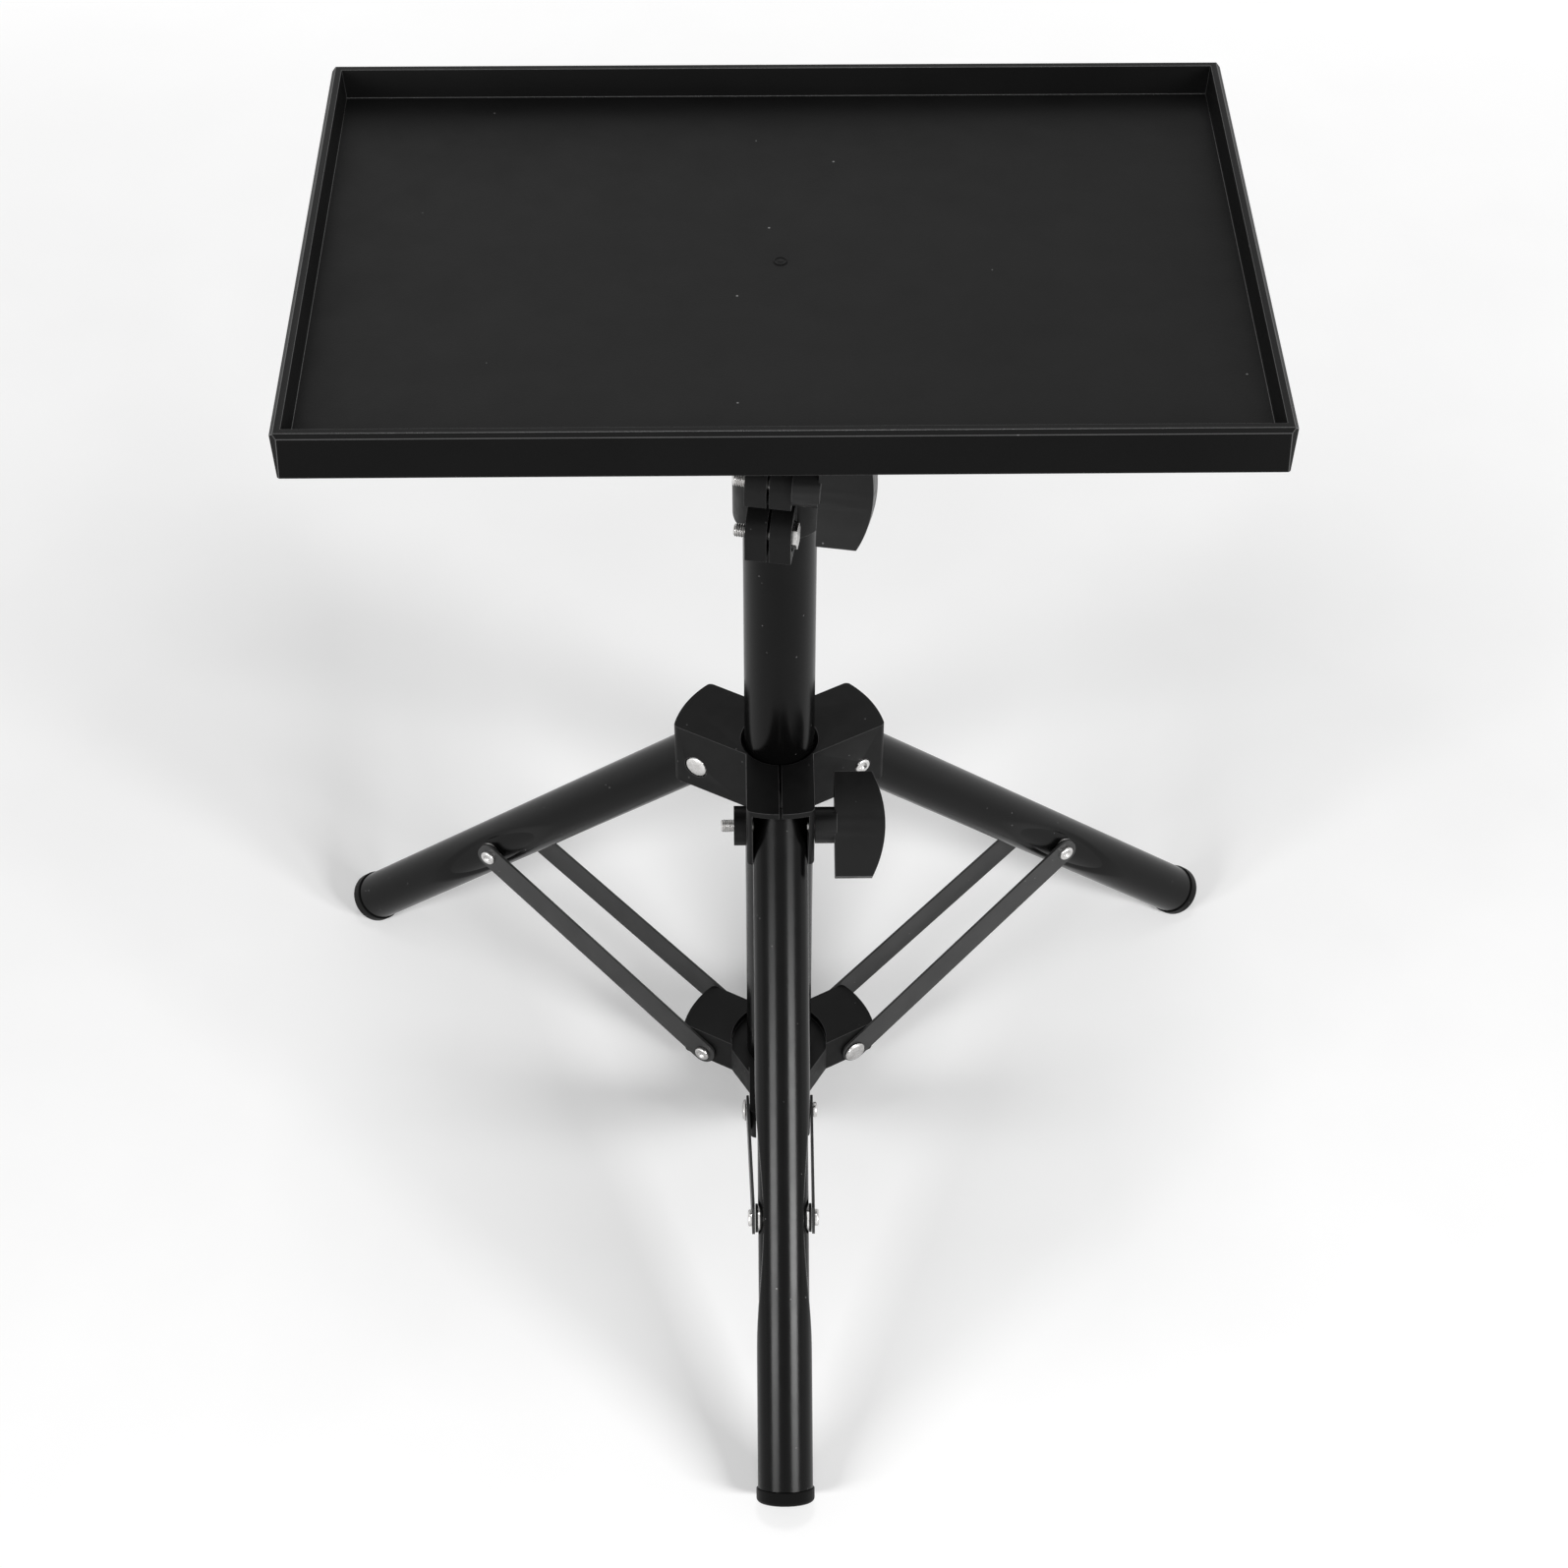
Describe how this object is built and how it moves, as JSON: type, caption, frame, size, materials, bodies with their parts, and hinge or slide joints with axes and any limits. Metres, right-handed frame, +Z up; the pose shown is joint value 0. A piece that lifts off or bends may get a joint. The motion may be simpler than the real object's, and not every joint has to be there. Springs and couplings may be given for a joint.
{
  "type": "portable projector stand",
  "caption": "Black folding tripod stand with a telescoping pole and a shallow rectangular tray for a projector.",
  "frame": {"origin": "on the floor, under the middle of the stand's footprint, in line with the tray's width", "axes": "+Z up; +Y to the back, so the front leg points along -Y; +X to the right as seen from the front"},
  "size_m": [0.4546, 0.3974, 0.5203],
  "materials": {
    "tube_enamel": "semi-gloss",
    "strut_enamel": "satin",
    "black_nylon": "satin",
    "tray_plastic": "fine grain, matte",
    "foot_rubber": "matte",
    "zinc_steel": "zinc plated"
  },
  "bodies": {
    "pole": {"main_pole": "tube_enamel", "pole_end_plug": "black_nylon", "lower_spider": "black_nylon", "spider_bolt_front": "zinc_steel", "spider_bolt_right": "zinc_steel", "spider_bolt_left": "zinc_steel", "top_clamp": "black_nylon", "clamp_bolt": "zinc_steel", "clamp_nut": "zinc_steel", "height_nut": "zinc_steel"},
    "hub": {"leg_hub": "black_nylon", "hub_nut": "zinc_steel", "pivot_bolt_right": "zinc_steel", "pivot_bolt_left": "zinc_steel"},
    "hub_knob": {"hub_knob": "black_nylon", "hub_knob_bolt": "zinc_steel"},
    "leg_front": {"leg_front": "tube_enamel", "foot_front": "foot_rubber", "leg_sleeve_front": "zinc_steel"},
    "strut_front": {"strut_front": "strut_enamel", "strut_bolt_front": "zinc_steel"},
    "leg_right": {"leg_right": "tube_enamel", "foot_right": "foot_rubber", "leg_sleeve_right": "zinc_steel"},
    "strut_right": {"strut_right": "strut_enamel", "strut_bolt_right": "zinc_steel"},
    "leg_left": {"leg_left": "tube_enamel", "foot_left": "foot_rubber", "leg_sleeve_left": "zinc_steel"},
    "strut_left": {"strut_left": "strut_enamel", "strut_bolt_left": "zinc_steel"},
    "mast": {"inner_pole": "tube_enamel", "pole_bush": "black_nylon", "tilt_base": "black_nylon"},
    "height_knob": {"height_knob": "black_nylon", "height_knob_bolt": "zinc_steel"},
    "tray": {"tray": "tray_plastic", "tray_bracket": "black_nylon", "tray_screws": "zinc_steel", "tilt_nut": "zinc_steel"},
    "tilt_knob": {"tilt_knob": "black_nylon", "tilt_bolt": "zinc_steel"}
  },
  "joints": [
    {"name": "hub_slide", "type": "slide", "parent": "pole", "child": "hub", "axis": [0, 0, 1], "range_m": [0, 0.12235]},
    {"name": "leg_front_fold", "type": "hinge", "parent": "hub", "child": "leg_front", "pos_m": [0, 0.02621, 0.22488], "axis": [1, 0, 0], "range_deg": [0, 45.05]},
    {"name": "strut_front_fold", "type": "hinge", "parent": "pole", "child": "strut_front", "pos_m": [0, 0.02621, 0.02183], "axis": [-1, 0, 0], "range_deg": [0, 58.46]},
    {"name": "leg_right_fold", "type": "hinge", "parent": "hub", "child": "leg_right", "pos_m": [0.03031, 0.07871, 0.22488], "axis": [-0.5, 0.866, 0], "range_deg": [0, 45.05]},
    {"name": "strut_right_fold", "type": "hinge", "parent": "pole", "child": "strut_right", "pos_m": [0.03031, 0.07871, 0.02183], "axis": [0.5, -0.866, 0], "range_deg": [0, 58.46]},
    {"name": "leg_left_fold", "type": "hinge", "parent": "hub", "child": "leg_left", "pos_m": [-0.03031, 0.07871, 0.22488], "axis": [-0.5, -0.866, 0], "range_deg": [0, 45.05]},
    {"name": "strut_left_fold", "type": "hinge", "parent": "pole", "child": "strut_left", "pos_m": [-0.03031, 0.07871, 0.02183], "axis": [0.5, 0.866, 0], "range_deg": [0, 58.46]},
    {"name": "height_slide", "type": "slide", "parent": "pole", "child": "mast", "axis": [0, 0, 1], "range_m": [0, 0.3]},
    {"name": "tray_tilt", "type": "hinge", "parent": "mast", "child": "tray", "pos_m": [0, 0.06121, 0.46613], "axis": [1, 0, 0], "range_deg": [-45, 45]},
    {"name": "hub_knob_turn", "type": "hinge", "parent": "hub", "child": "hub_knob", "pos_m": [0, 0.02621, 0.22488], "axis": [1, 0, 0], "continuous": true},
    {"name": "height_knob_turn", "type": "hinge", "parent": "pole", "child": "height_knob", "pos_m": [-0.00443, 0.0361, 0.41543], "axis": [0.9848, -0.1736, 0], "continuous": true},
    {"name": "tilt_knob_turn", "type": "hinge", "parent": "tray", "child": "tilt_knob", "pos_m": [0, 0.06121, 0.46613], "axis": [1, 0, 0], "continuous": true}
  ],
  "couplings": [
    {"joint": "leg_front_fold", "follows": "hub_slide", "rad_per_m": 6.4193},
    {"joint": "strut_front_fold", "follows": "hub_slide", "rad_per_m": 8.3317},
    {"joint": "leg_right_fold", "follows": "hub_slide", "rad_per_m": 6.4193},
    {"joint": "strut_right_fold", "follows": "hub_slide", "rad_per_m": 8.3317},
    {"joint": "leg_left_fold", "follows": "hub_slide", "rad_per_m": 6.4193},
    {"joint": "strut_left_fold", "follows": "hub_slide", "rad_per_m": 8.3317}
  ]
}
